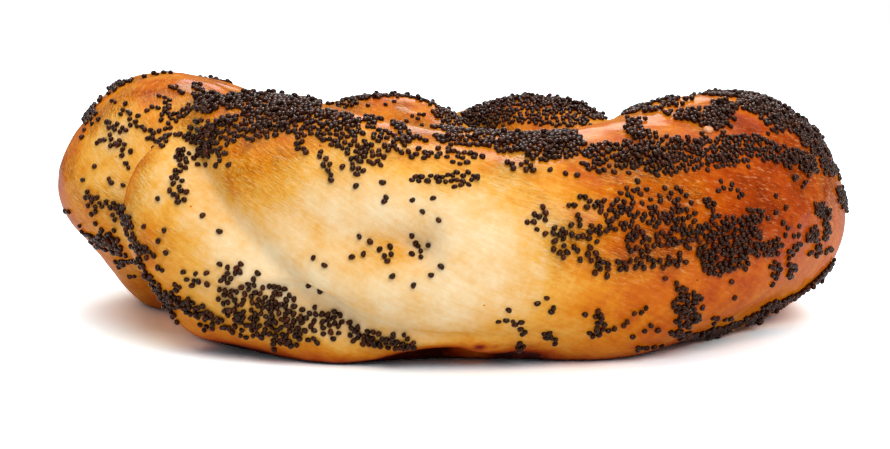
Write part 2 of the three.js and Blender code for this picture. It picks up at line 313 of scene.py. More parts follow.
# Drifts of seeds, from one (ring, rope) to another: half-width in millimetres, share covered.
SEED_BANDS = (
    # left end, beyond the join
    ((182, 88), (190, 60), 1.2, 0.30),
    ((184, 60), (190, 62), 0.9, 0.50),
    ((198, 57), (204, 60), 0.6, 0.30),
    ((187, 53), (193, 54), 0.8, 0.42),
    ((187, 45), (195, 45), 1.4, 0.75),
    ((196, 43), (205, 47), 0.7, 0.45),
    ((197, 40), (206, 36), 0.7, 0.32),
    ((207.5, 43), (211.5, 40), 1.1, 0.42),
    ((209, 56), (215, 56), 0.9, 0.70),
    ((204.5, 57.5), (207, 58), 0.5, 0.60),
    ((206, 47), (209, 48), 0.5, 0.60),
    ((211, 38), (212.5, 33), 0.8, 0.50),
    ((202, 98), (210, 97), 0.9, 0.75),
    ((204, 86), (208, 90), 1.1, 0.60),
    ((208, 78), (213.5, 68), 1.5, 0.42),
    ((208, 70), (212, 73), 1.0, 0.45),
    ((213, 84), (214, 62), 1.1, 0.62),
    ((211, 99), (221, 104), 3.4, 1.00),
    ((213.3, 32), (213.6, 16), 0.35, 0.60),
    ((208.5, 9), (213.5, 8), 1.1, 0.65),
    ((209, 4), (209, -6), 0.9, 0.70),
    ((212.5, 6), (212, -5), 0.7, 0.50),
    ((197, -3), (204, 5), 0.4, 0.25),
    ((202.5, -14), (211, -11), 1.3, 0.95),
    ((203, -18), (210, -17), 0.7, 0.45),
    ((196, -23), (203, -27), 1.0, 0.62),
    ((203, -26), (208, -24), 0.7, 0.45),
    ((192, -44), (203, -38), 0.8, 0.42),
    ((203, -38), (209, -34), 0.8, 0.45),
    ((191, -53), (196, -54), 0.6, 0.45),
    # strand beside the join
    ((220.5, 51), (223, 45), 0.8, 0.70),
    ((222.5, 52), (228.5, 52), 0.45, 0.75),
    ((221, 74), (229, 70), 2.2, 0.95),
    ((227, 43), (229, 36), 0.9, 0.90),
    ((229, 36), (231, 22), 0.8, 0.95),
    ((230, 20), (232.3, 17), 0.4, 0.75),
    ((220.5, 8), (225, 2), 0.8, 0.82),
    ((225, -3), (228.5, -8), 1.0, 0.88),
    ((226, -12), (227, -24), 1.3, 1.00),
    ((226, -24), (227.3, -38), 0.8, 0.88),
    ((228.5, -28), (233, -32), 1.3, 0.90),
    ((233, -33), (236.5, -36), 1.4, 0.95),
    ((236.5, -38), (239.5, -44), 1.1, 0.80),
    ((233.5, -42), (235, -44), 0.4, 0.70),
    ((230, -13), (231.5, -24), 0.9, 0.35),
    ((235, -16), (238, -24), 1.0, 0.45),
    ((239.3, -17), (241.5, -12), 0.6, 0.95),
    # crown over the bulge
    ((230, 94), (240, 92), 3.4, 0.92),
    ((230, 78), (242, 77), 3.2, 0.95),
    ((226, 59), (229, 60), 0.5, 0.60),
    ((229, 53), (233, 55), 1.4, 0.95),
    ((230, 48), (234, 46), 1.5, 0.82),
    ((234, 56), (242, 58), 2.2, 0.88),
    ((234, 43), (237, 42), 0.8, 0.75),
    ((237, 49), (241, 52), 1.4, 0.90),
    ((238, 68), (246, 69), 2.6, 0.95),
    ((242, 58), (250, 60), 1.6, 0.82),
    ((238, 84), (243, 82), 3.4, 0.92),
    ((243, 78), (252, 76), 1.6, 0.88),
    ((246, 69), (254, 69), 2.5, 0.92),
    ((248.3, 49), (250, 47.5), 0.6, 0.90),
    ((251, 62), (255, 54), 2.0, 0.80),
    ((252.3, 46), (254, 39), 0.9, 0.80),
    ((255, 52), (260, 50), 1.7, 0.70),
    ((255, 43), (258, 42), 0.7, 0.75),
    ((256, 82), (257, 72), 0.9, 0.80),
    ((257, 66), (262, 62), 1.6, 0.50),
    ((260.5, 84), (261.5, 76), 0.6, 0.75),
    ((260, 56), (266, 56), 1.6, 0.60),
    ((262, 70), (266, 68), 1.0, 0.45),
    ((265, 42), (272, 41), 1.1, 0.85),
    ((270, 46), (275, 46), 0.8, 0.50),
    # crown at the front
    ((268, 58), (273, 58), 1.5, 0.65),
    ((269, 71), (277, 72), 2.2, 0.85),
    ((270, 85), (278, 84), 3.0, 0.62),
    ((279, 83), (287, 84), 3.2, 0.92),
    ((276, 68), (288, 68), 2.4, 0.98),
    ((277, 50), (280, 46), 1.2, 0.75),
    ((281, 58), (290, 55), 1.6, 0.85),
    ((283, 46), (286, 42), 1.0, 0.35),
    ((288, 48), (298, 44), 1.6, 0.75),
    ((291, 57), (298, 58), 1.6, 0.72),
    # shoulder at the front right
    ((300, 76), (298, 63), 1.0, 0.88),
    ((300.5, 77), (304, 84), 0.5, 0.75),
    ((300, 68), (301, 58), 0.9, 0.80),
    ((303, 62), (304, 58), 0.6, 0.80),
    ((302, 86), (303, 80), 0.4, 0.60),
    ((308, 79), (310, 80), 0.4, 0.70),
    ((295, 50), (306, 48), 2.9, 0.92),
    ((306, 48), (317, 46), 2.6, 1.00),
    ((317, 42), (328, 30), 2.3, 0.95),
    ((321, 24), (325, 18), 1.2, 0.30),
    # crown at the right
    ((307, 101), (318, 104), 1.2, 0.70),
    ((309, 92), (316, 88), 1.5, 0.45),
    ((316, 90), (324, 92), 2.2, 0.20),
    ((310, 72), (314, 76), 1.3, 0.70),
    ((314, 66), (320, 70), 2.4, 0.95),
    ((326, 82), (331, 82), 1.8, 0.78),
    ((325, 66), (330, 60), 2.2, 0.95),
    ((325, 54), (330, 52), 1.6, 0.95),
    ((331, 74), (338, 62), 3.0, 1.00),
    ((331, 56), (341, 46), 3.4, 1.00),
    ((331, 40), (342, 36), 2.4, 0.95),
    ((333, 28), (342, 22), 1.4, 0.70),
    ((338, 12), (346, 6), 1.2, 0.75),
    ((336, 98), (346, 102), 2.6, 0.90),
    ((341, 88), (352, 46), 1.9, 0.55),
    # drifts on the front right side
    ((280, 22), (281.5, 26), 0.6, 0.90),
    ((282, 14), (285, 13), 0.9, 0.90),
    ((282, 7), (286, 6), 1.1, 0.90),
    ((286, 3), (288, -2), 0.9, 0.95),
    ((284.5, 28), (285, 19), 0.5, 0.55),
    ((286, 29), (290, 24), 1.0, 0.75),
    ((286, 14), (291, 17), 0.7, 0.90),
    ((291, 27), (300, 26), 1.4, 0.45),
    ((291, 18), (300, 17), 1.5, 0.76),
    ((292, 10), (300, 9), 1.5, 0.72),
    ((290, 0), (298, -1), 0.9, 0.70),
    ((304, 22), (305, 14), 0.8, 0.80),
    ((307, 28), (310, 24), 0.7, 0.80),
    ((304, 4), (309, 4), 3.0, 1.00),
    ((303, -6), (309, -7), 1.4, 1.00),
    ((310, 0), (315, -4), 1.2, 0.80),
    ((304, 13), (313, 12), 0.9, 0.75),
    ((315, -11), (317, -16), 0.5, 0.85),
    ((317, 2), (318, 3), 0.5, 0.80),
    ((319, -7), (322, -5), 0.6, 0.60),
    ((319, -2), (321, 0), 0.4, 0.60),
    ((321, -16), (323, -23), 0.7, 0.80),
    ((327, 8), (332, 6), 0.8, 0.80),
    ((331, 5), (332, -5), 1.1, 0.90),
    ((325, -3), (328, -6), 0.9, 0.85),
    ((326, -11), (331, -12), 0.6, 0.75),
    ((334, -14), (337, -15), 0.4, 0.80),
    # lower right
    ((298, -12), (300, -16), 0.6, 0.70),
    ((299, -18), (302, -22), 1.0, 0.85),
    ((299, -24), (303, -34), 1.4, 0.95),
    ((301, -42), (305, -48), 0.9, 0.80),
    ((296, -52), (302, -56), 0.5, 0.35),
    ((307.5, -36), (310, -43), 0.4, 0.55),
    ((305, -52), (312, -62), 1.1, 0.90),
    ((313, -46), (317, -52), 0.5, 0.60),
    ((312, -64), (321, -67), 1.6, 1.00),
    ((321, -65), (331, -60), 1.9, 1.00),
    ((327, -50), (331, -50), 0.9, 0.80),
    ((331, -57), (336, -49), 1.8, 0.95),
    ((337, -47), (339.5, -36), 1.3, 0.95),
    ((339.5, -34), (343, -24), 1.2, 0.90),
    ((281.5, -15), (282, -22), 0.4, 0.90),
    ((276.5, -27), (278, -28), 0.5, 0.95),
    ((278, -30), (279.5, -36), 0.4, 0.90),
    ((282, -37), (283.5, -45), 0.4, 0.95),
    ((288, -24), (289, -34), 0.9, 1.00),
    ((289, -33), (291, -33), 0.5, 0.90),
    ((288, -38), (291, -39), 0.4, 0.70),
    ((292.5, -32), (292.6, -27), 0.4, 0.85),
    ((293, -26), (294.5, -24), 0.5, 0.90),
    ((295.5, -38), (296, -35), 0.5, 0.90),
    ((278.6, -47), (279.3, -49), 0.5, 0.90),
    # roll at the lower left
    ((238.5, -25), (245, -25), 1.7, 0.85),
    ((243, -20), (246, -24), 0.9, 0.90),
    ((239.5, -32), (247, -33), 1.8, 0.85),
    ((242.5, -39), (248, -41), 1.9, 0.85),
    ((244.5, -46), (247.5, -47), 0.6, 0.90),
    ((247, -33), (252, -40), 1.3, 0.95),
    ((248, -42), (252, -45), 0.9, 0.60),
    ((252, -43), (258, -46), 1.1, 0.95),
    ((258, -46), (263, -46), 1.4, 0.95),
    # back humps, the sides towards the hole
    ((130, 96), (112, 92), 2.4, 0.60),
    ((110, 92), (96, 96), 3.0, 0.95),
    ((92, 124), (86, 96), 3.0, 0.95),
    ((118, 110), (100, 130), 5.0, 0.12),
    ((86, 92), (70, 100), 4.0, 1.00),
    ((80, 118), (56, 120), 3.4, 0.70),
    ((70, 108), (54, 94), 4.0, 0.85),
    # the back, seen from behind
    ((168, 62), (92, 66), 6.5, 0.11),
    ((92, 66), (14, 62), 6.5, 0.11),
    ((128, 78), (118, 56), 4.6, 0.80),
    ((116, 44), (108, 36), 2.2, 0.55),
    ((106, 80), (94, 56), 5.2, 0.85),
    ((96, 40), (88, 30), 2.4, 0.75),
    ((86, 26), (78, 8), 3.8, 0.45),
    ((112, 24), (100, 8), 3.8, 0.40),
    ((74, 80), (62, 56), 5.2, 0.85),
    ((60, 46), (50, 34), 2.4, 0.70),
    ((52, 22), (42, 4), 3.8, 0.40),
    ((40, 88), (28, 64), 5.0, 0.80),
    ((26, 52), (16, 40), 2.6, 0.75),
    ((18, 22), (4, 4), 4.2, 0.45),
    ((10, 94), (354, 82), 4.6, 0.80),
    ((4, 58), (352, 36), 3.8, 0.60),
    ((160, 88), (148, 66), 4.8, 0.82),
    ((150, 50), (140, 38), 2.4, 0.65),
    ((138, 22), (128, 6), 3.8, 0.40),
    ((172, 56), (160, 30), 4.2, 0.50),
    ((178, 30), (170, -10), 3.0, 0.40),
    ((70, -14), (84, -22), 1.6, 0.50),
    ((94, -28), (110, -34), 1.4, 0.60),
    ((20, -28), (36, -32), 1.6, 0.60),
    ((128, -24), (144, -30), 1.6, 0.55),
)
# A drift's edge fades over BAND_EDGE millimetres and strays by up to BAND_RAGGED, and by more
# where the drift's half-width is over BAND_WIDE.
BAND_EDGE, BAND_RAGGED, BAND_WIDE = 1.1, 1.6, 3.4
EDGE_NOISE = ((0.75, 4.5, 3), (0.45, 1.9, 5))
# Seeds spilt past a drift's edge: how far, in millimetres, and how thick they lie.
SPILL_REACH, SPILL_SHARE = 1.8, 0.13
# Seeds that lie by themselves: ring and rope.
LONE_SEEDS = (
    (257.8, 12), (259.2, 10), (260.5, 6), (261.7, 8), (258.6, 3), (257.2, 1), (261.2, 3), (262, 4),
    (261.7, 1), (264.5, 16), (265, 12), (265.3, 10), (266.8, 11), (265.7, 7), (264.6, 5), (265.8, 4),
    (268.4, 1), (267.2, -3), (262.5, -5), (265.1, -8), (261.4, 31), (264.7, 31), (267.3, 32), (266, 26),
    (268.1, 22), (260.8, 37.5), (257.5, 34), (254.2, 35), (261.2, 29), (235.8, 36.5), (238.7, 36),
    (237.6, 41.5), (230.8, 38), (229, 15.8), (235.6, 11), (238.2, 4.6), (231.1, 3), (230.3, -1.5),
    (231.5, -6), (230.4, -13.7), (250.6, -34), (253.2, -37), (254, -38.5), (237.2, -13.7),
    (252.2, -1.5), (253.8, -4), (208.2, 25.6), (207, 17.7), (211.4, 22), (211.9, 20.7), (286.3, -24),
    (309, -24), (296.5, -9), (316.5, 19), (315.5, 12), (318, 13), (279.7, 17), (280.7, 15), (294, 36),
)
SEED_DRAW = 7
# Places tried over the whole crust, and the least distance between two seeds in millimetres.
SEED_TRIES = 1100000
SEED_GAP = 0.72
# Seeds gather in clumps: how strongly, and the shares at which a place is bare and is full.
CLUMPING, BARE_TO_FULL = 0.6, (0.06, 0.94)
CLUMP_NOISE = ((0.6, 2.3, 9), (0.4, 1.1, 10))
# Stray seeds between the clumps of a drift.
BETWEEN_CLUMPS = 0.22
# The chance that a try is taken is -DENSITY * log(NEVER_QUITE_FULL - fullness).
DENSITY, NEVER_QUITE_FULL = 0.13, 1.004
# Length, breadth and height of a seed, and how much a whole seed and each side may vary.
SEED_SIZE = (1.06, 0.90, 0.80)
SEED_GROWTH, SIDE_GROWTH = (0.90, 1.10), (0.95, 1.05)
# The bean shape, as shares of the seed: how far it bends, how far that is set back to stay in the
# middle, the depth and the width of its notch, and the side on which the notch is.
SEED_BEND, BEND_BACK, SEED_NOTCH, NOTCH_WIDTH, NOTCH_SIDE = 0.24, 0.03, 0.10, 0.2, -0.2
SEED_SIDES, SEED_ROWS = 10, 5
# How deep a seed sits in the glaze, and how far it tilts.
SEED_SUNK = 0.16
SEED_TILT = 0.22
# The lowest that a seed's skin reaches, just above what the bagel lies on.
SEED_FLOOR = 0.02
# A second layer: the share of the seeds in the thickest drifts, how much higher it lies, and how
# far it is shifted in ring and rope.
SEED_PILED, PILED_FROM, SEED_LAYER, PILED_SHIFT = 0.12, 0.8, 0.55, (0.35, 1.0)
# Each kind: the end of its share of the seeds, its darkest and its lightest colour.
SEED_KINDS = {
    "poppy_seeds_slate": (0.25, "#0e0604", "#231410"),
    "poppy_seeds_black": (0.50, "#0b0302", "#1d0b06"),
    "poppy_seeds_umber": (0.75, "#120502", "#2b1009"),
    "poppy_seeds_brown": (1.00, "#190803", "#40180b"),
}
# The one pale grain: where its middle is, its size, its facets, how much narrower one end is than
# the other, and how far its middle is above the crust, as a share of its height.
GRAIN_AT = (311.4, 60.0)
GRAIN_SIZE = (1.95, 1.40, 1.10)
GRAIN_SIDES, GRAIN_ROWS = 20, 12
GRAIN_TAPER, GRAIN_RAISED = 0.25, 0.22
# The step in degrees by which the crust's slope is measured.
NORMAL_STEP = 0.4


def coverage(ring, rope, ragged):
    """The share of the crust that seeds cover at a place, with the drifts' edges moved by ragged."""
    best = np.zeros(len(ring))
    spoke = MIDDLE_RADIUS + ROPE_RADIUS * np.cos(np.radians(rope))
    for (ring0, rope0), (ring1, rope1), half, share in SEED_BANDS:
        dx, dy = np.radians(turn(ring1 - ring0)) * spoke, math.radians(rope1 - rope0) * ROPE_RADIUS
        ux, uy = np.radians(turn(ring - ring0)) * spoke, np.radians(turn(rope - rope0)) * ROPE_RADIUS
        t = np.clip((ux * dx + uy * dy) / (dx * dx + dy * dy), 0, 1)
        stray = min(half, BAND_RAGGED) + max(half - BAND_WIDE, 0) * BAND_RAGGED
        beyond = np.hypot(ux - t * dx, uy - t * dy) + ragged * stray - half
        core = np.clip(0.5 - beyond / BAND_EDGE, 0, 1)
        spill = SPILL_SHARE * np.exp(-np.maximum(beyond, 0) / SPILL_REACH) * (beyond < 3 * SPILL_REACH)
        best = np.maximum(best, share * np.maximum(core, spill))
    return best


def spread(points, gap):
    """The numbers of the points that are at least gap from every one kept before them."""
    cells, kept = {}, []
    keys = np.floor(points / gap).astype(int).tolist()
    places = points.tolist()
    around = [(a, b, c) for a in (-1, 0, 1) for b in (-1, 0, 1) for c in (-1, 0, 1)]
    for number, ((i, j, k), (x, y, z)) in enumerate(zip(keys, places)):
        near = (cells.get((i + a, j + b, k + c)) for a, b, c in around)
        close = any(
            (x - u) ** 2 + (y - v) ** 2 + (z - w) ** 2 < gap * gap
            for cell in near if cell for u, v, w in cell
        )
        if not close:
            cells.setdefault((i, j, k), []).append((x, y, z))
            kept.append(number)
    return np.array(kept)


def seed_places(draw):
    """Ring and rope angles of the seeds that lie on the crust, and how full their place is."""
    ring = draw.uniform(0, 360, SEED_TRIES)
    rope = draw.uniform(-180, 180, SEED_TRIES)
    spoke = MIDDLE_RADIUS + ROPE_RADIUS * np.cos(np.radians(rope))
    fair = draw.uniform(0, MIDDLE_RADIUS + ROPE_RADIUS, SEED_TRIES) < spoke
    ring, rope = ring[fair], rope[fair]
    chance = draw.uniform(0, 1, len(ring))
    points = crust(ring, rope)
    cover = coverage(ring, rope, layered(points, EDGE_NOISE))
    clump = layered(points, CLUMP_NOISE)
    full = smoothstep(cover + CLUMPING * clump * np.sqrt(cover * (1.1 - cover)), *BARE_TO_FULL)
    full = full + (1 - full) * BETWEEN_CLUMPS * cover
    chosen = np.flatnonzero(chance < -DENSITY * np.log(NEVER_QUITE_FULL - full))
    chosen = chosen[spread(points[chosen], SEED_GAP)]
    lone_ring, lone_rope = np.array(LONE_SEEDS).T
    return (np.concatenate([ring[chosen], lone_ring]), np.concatenate([rope[chosen], lone_rope]),
            np.concatenate([cover[chosen], np.zeros(len(lone_ring))]))


def capped_faces(rows, sides):
    """The triangles of a round closed skin: one point, rows - 1 rings of points, and one point."""
    last = 1 + (rows - 1) * sides
    faces = []
    for side in range(sides):
        after = (side + 1) % sides
        faces.append((0, 1 + side, 1 + after))
        for row in range(rows - 2):
            near, far = 1 + row * sides, 1 + (row + 1) * sides
            faces += [(near + side, far + side, far + after), (near + side, far + after, near + after)]
        faces.append((last - sides + side, last, last - sides + after))
    return np.array(faces)


def seed_shape():
    """A bean with its notch towards -Y, about 1 across: points and faces."""
    points = [(0, 0, 0.5)]
    for row in range(1, SEED_ROWS):
        polar = math.pi * row / SEED_ROWS
        for side in range(SEED_SIDES):
            angle = 2 * math.pi * side / SEED_SIDES
            points.append((math.sin(polar) * math.cos(angle) / 2, math.sin(polar) * math.sin(angle) / 2,
                           math.cos(polar) / 2))
    points.append((0, 0, -0.5))
    points = np.array(points)
    points[:, 1] -= SEED_BEND * points[:, 0] ** 2 - BEND_BACK
    notch = np.exp(-(points[:, 0] / NOTCH_WIDTH) ** 2) * (points[:, 1] < NOTCH_SIDE)
    points[:, 1] += SEED_NOTCH * notch
    return points, capped_faces(SEED_ROWS, SEED_SIDES)


def unit(vectors):
    """The same directions, one long."""
    return vectors / np.linalg.norm(vectors, axis=-1, keepdims=True)


def crust_normals(ring, rope):
    """The direction straight out of the crust."""
    along_ring = crust(ring + NORMAL_STEP, rope) - crust(ring - NORMAL_STEP, rope)
    along_rope = crust(ring, rope + NORMAL_STEP) - crust(ring, rope - NORMAL_STEP)
    return unit(np.cross(along_ring, along_rope))


def stray_grain(material):
    """One larger pale grain, a smooth almond, that baked on among the seeds."""
    polar = np.linspace(0, math.pi, GRAIN_ROWS + 1)[1:-1, None]
    angle = np.linspace(0, 2 * math.pi, GRAIN_SIDES, endpoint=False)[None]
    x, y, z = np.broadcast_arrays(np.cos(polar), np.sin(polar) * np.cos(angle),
                                  np.sin(polar) * np.sin(angle))
    taper = 1 - GRAIN_TAPER * x
    body = np.stack([x, y * taper, z * taper], -1).reshape(-1, 3)
    shape = np.concatenate([[[1, 0, 0]], body, [[-1, 0, 0]]]) * np.array(GRAIN_SIZE) / 2
    ring, rope = np.array(GRAIN_AT[:1]), np.array(GRAIN_AT[1:])
    up = crust_normals(ring, rope)[0]
    along = unit(crust(ring + NORMAL_STEP, rope) - crust(ring - NORMAL_STEP, rope))[0]
    points = crust(ring, rope)[0] + up * GRAIN_SIZE[2] * GRAIN_RAISED
    points = points + shape[:, :1] * along + shape[:, 1:2] * np.cross(up, along) + shape[:, 2:] * up
    return mesh_piece("stray_grain", points, capped_faces(GRAIN_ROWS, GRAIN_SIDES), material)


def seed_kind(name, ring, rope, lift, draw, material):
    """One kind's seeds as one piece, each tilted and sized a little differently."""
    count = len(ring)
    shape, faces = seed_shape()
    normal = crust_normals(ring, rope)
    lean = unit(normal + draw.normal(0, SEED_TILT, (count, 3)))
    side = unit(np.cross(lean, draw.normal(0, 1, (count, 3))))
    front = np.cross(lean, side)
    size = np.array(SEED_SIZE) * draw.uniform(*SEED_GROWTH, (count, 1))
    size = size * draw.uniform(*SIDE_GROWTH, (count, 3))
    centre = crust(ring, rope) + normal * (size[:, 2:] / 2 - SEED_SUNK + lift[:, None])
    local = shape[None] * size[:, None]
    points = centre[:, None] + local[..., :1] * side[:, None] + local[..., 1:2] * front[:, None]
    points = points + local[..., 2:] * lean[:, None]
    points[..., 2] = np.maximum(points[..., 2], SEED_FLOOR)
    all_faces = (faces[None] + np.arange(count)[:, None, None] * len(shape)).reshape(-1, 3)
    piece = mesh_piece(name, points.reshape(-1, 3), all_faces, material)
    add_attribute(piece, "tone", np.repeat(draw.uniform(0, 1, count), len(shape)))
    return piece


# ---------------------------------------------------------------- meshes


def mesh_piece(name, points, faces, material):
    """A smooth-shaded object from points in millimetres and faces of one size."""
    mesh = bpy.data.meshes.new(name)
    corners = faces.shape[1]
    mesh.vertices.add(len(points))
    mesh.vertices.foreach_set("co", (points * MM).astype(np.float32).ravel())
    mesh.loops.add(faces.size)
    mesh.loops.foreach_set("vertex_index", faces.astype(np.int32).ravel())
    mesh.polygons.add(len(faces))
    mesh.polygons.foreach_set("loop_start", np.arange(len(faces), dtype=np.int32) * corners)
    mesh.update(calc_edges=True)
    mesh.validate()
    mesh.polygons.foreach_set("use_smooth", np.ones(len(faces), dtype=bool))
    mesh.materials.append(material)
    piece = bpy.data.objects.new(name, mesh)
    bpy.context.scene.collection.objects.link(piece)
    return piece


def add_attribute(piece, name, values):
    """A number, or a vector, stored at each vertex for the material to read."""
    kind, field = ("FLOAT", "value") if values.ndim == 1 else ("FLOAT_VECTOR", "vector")
    attribute = piece.data.attributes.new(name, kind, "POINT")
    attribute.data.foreach_set(field, values.astype(np.float32).ravel())


# The crust's quads round the ring and round the rope.
CRUST_RINGS, CRUST_ROPES = 588, 168
# How much of the crust's fine wrinkling is left low on the sides, and the sine of the rope angle
# over which it comes to the full.
WRINKLED_LEAST, WRINKLED_SPAN = 0.15, (-0.30, 0.10)
# How fast the material's wrinkles change along the twist, against how fast across it.
GRAIN_STRETCH = 0.2


def crust_piece(material):
    """The whole crust as one closed mesh."""
    rings = np.arange(CRUST_RINGS) * 360 / CRUST_RINGS
    ropes = np.arange(CRUST_ROPES) * 360 / CRUST_ROPES - 180
    ring, rope = (grid.ravel() for grid in np.meshgrid(rings, ropes, indexing="ij"))
    plain = crust(ring, rope)
    points = crust(ring, rope, fine_relief(ring, rope, plain))
    i, j = np.divmod(np.arange(CRUST_RINGS * CRUST_ROPES), CRUST_ROPES)
    next_i, next_j = (i + 1) % CRUST_RINGS, (j + 1) % CRUST_ROPES
    faces = np.stack([i * CRUST_ROPES + j, next_i * CRUST_ROPES + j, next_i * CRUST_ROPES + next_j,
                      i * CRUST_ROPES + next_j], -1)
    piece = mesh_piece("bagel_crust", points, faces, material)

    # How brown the crust is, with painted shade added.
    add_attribute(piece, "bake_and_shade", browning_and_shade(ring, rope, plain))
    helix, section = twist_angles(ring, rope)
    twist = [np.cos(helix), np.sin(helix), GRAIN_STRETCH * np.cos(section)]
    add_attribute(piece, "grain", np.stack(twist, -1))
    add_attribute(piece, "grain_w", GRAIN_STRETCH * np.sin(section))
    upper = smoothstep(np.sin(section), *WRINKLED_SPAN)
    add_attribute(piece, "wrinkled", WRINKLED_LEAST + (1 - WRINKLED_LEAST) * upper)
    return piece


# ---------------------------------------------------------------- materials

# The crust from pale dough (0) to burnt (1).
CRUST_COLOURS = (
    (0.00, "#f6daac"), (0.15, "#f1c586"), (0.30, "#ecab46"), (0.45, "#e08818"),
    (0.60, "#cd6409"), (0.75, "#b24403"), (0.90, "#832802"), (1.00, "#461001"),
)
# The painted highlight on the crests of the wrinkles, the stray grain, and the tint of what glints on a
# seed.
PAINTED_GLINT_COLOUR = "#f8c893"
GRAIN_COLOURS = ((0.3, "#d98651"), (0.7, "#ecae80"))
SEED_GLINT = (1.0, 0.50, 0.32, 1)
# The floor as the bagel sees it, and as the camera sees it.
FLOOR_NEAR = (0.86, 0.90, 0.93, 1)
FLOOR_SEEN = (1.60, 1.88, 2.00, 1)


def srgb(code):
    """A colour written as #rrggbb, as the linear numbers that a shader takes."""
    parts = [int(code[k:k + 2], 16) / 255 for k in (1, 3, 5)]
    return [p / 12.92 if p <= 0.04045 else ((p + 0.055) / 1.055) ** 2.4 for p in parts] + [1]


class Nodes:
    """Short names for making and joining a material's nodes."""

    def __init__(self, name):
        self.material = bpy.data.materials.new(name)
        self.material.use_nodes = True
        self.tree = self.material.node_tree
        self.shader = self.tree.nodes["Principled BSDF"]

    def set(self, **numbers):
        """Numbers on the shader's own sockets, named with _ for a space."""
        for name, value in numbers.items():
            self.shader.inputs[name.replace("_", " ")].default_value = value

    def add(self, kind, inputs=(), **settings):
        """A new node, with its settings and its inputs."""
        node = self.tree.nodes.new(kind)
        for key, value in settings.items():
            setattr(node, key, value)
        for key, value in dict(inputs).items():
            self.put(node.inputs[key], value)
        return node

    def put(self, socket, value):
        """Joins an output to a socket, or sets the socket to a number or a colour."""
        if isinstance(value, bpy.types.NodeSocket):
            self.tree.links.new(value, socket)
        else:
            socket.default_value = value

    def attribute(self, name, output="Fac"):
        return self.add("ShaderNodeAttribute", attribute_name=name).outputs[output]

    def noise(self, vector, scale, detail, roughness):
        inputs = {"Vector": vector, "Scale": scale, "Detail": detail, "Roughness": roughness}
        return self.add("ShaderNodeTexNoise", inputs).outputs["Fac"]

    def pits(self, vector, scale):
        """The distance to the nearest of many scattered points."""
        inputs = {"Vector": vector, "Scale": scale}
        return self.add("ShaderNodeTexVoronoi", inputs).outputs["Distance"]

    def grain(self, vector, w, scale, detail, roughness, distortion=0.0):
        """Noise in four dimensions, which closes on itself round the ring and round the rope."""
        inputs = {"Vector": vector, "W": w, "Scale": scale, "Detail": detail, "Roughness": roughness,
                  "Distortion": distortion}
        return self.add("ShaderNodeTexNoise", inputs, noise_dimensions="4D").outputs["Fac"]

    def math(self, operation, a, b=0.0, clamp=False):
        node = self.add("ShaderNodeMath", {0: a, 1: b}, operation=operation, use_clamp=clamp)
        return node.outputs[0]

    def spread(self, value, low, high, to_low=0.0, to_high=1.0):
        """A value from low to high, turned into one from to_low to to_high and held there."""
        node = self.add("ShaderNodeMapRange", {"Value": value, "From Min": low, "From Max": high,
                                               "To Min": to_low, "To Max": to_high})
        return node.outputs["Result"]

    def ramp(self, value, stops):
        """A colour picked by a value, between stops of place and colour."""
        node = self.add("ShaderNodeValToRGB", {"Fac": value})
        band = node.color_ramp
        while len(band.elements) < len(stops):
            band.elements.new(0.5)
        for element, (place, colour) in zip(band.elements, stops):
            element.position = place
            element.color = srgb(colour)
        return node.outputs["Color"]

    def mix(self, share, a, b):
        """Colour a at share 0, colour b at share 1."""
        node = self.add("ShaderNodeMix", data_type="RGBA")
        self.put(node.inputs[0], share)
        self.put(node.inputs[6], a)
        self.put(node.inputs[7], b)
        return node.outputs[2]

    def bump(self, height, strength, distance, normal=None):
        inputs = {"Height": height, "Strength": strength, "Distance": distance}
        if normal is not None:
            inputs["Normal"] = normal
        return self.add("ShaderNodeBump", inputs).outputs["Normal"]


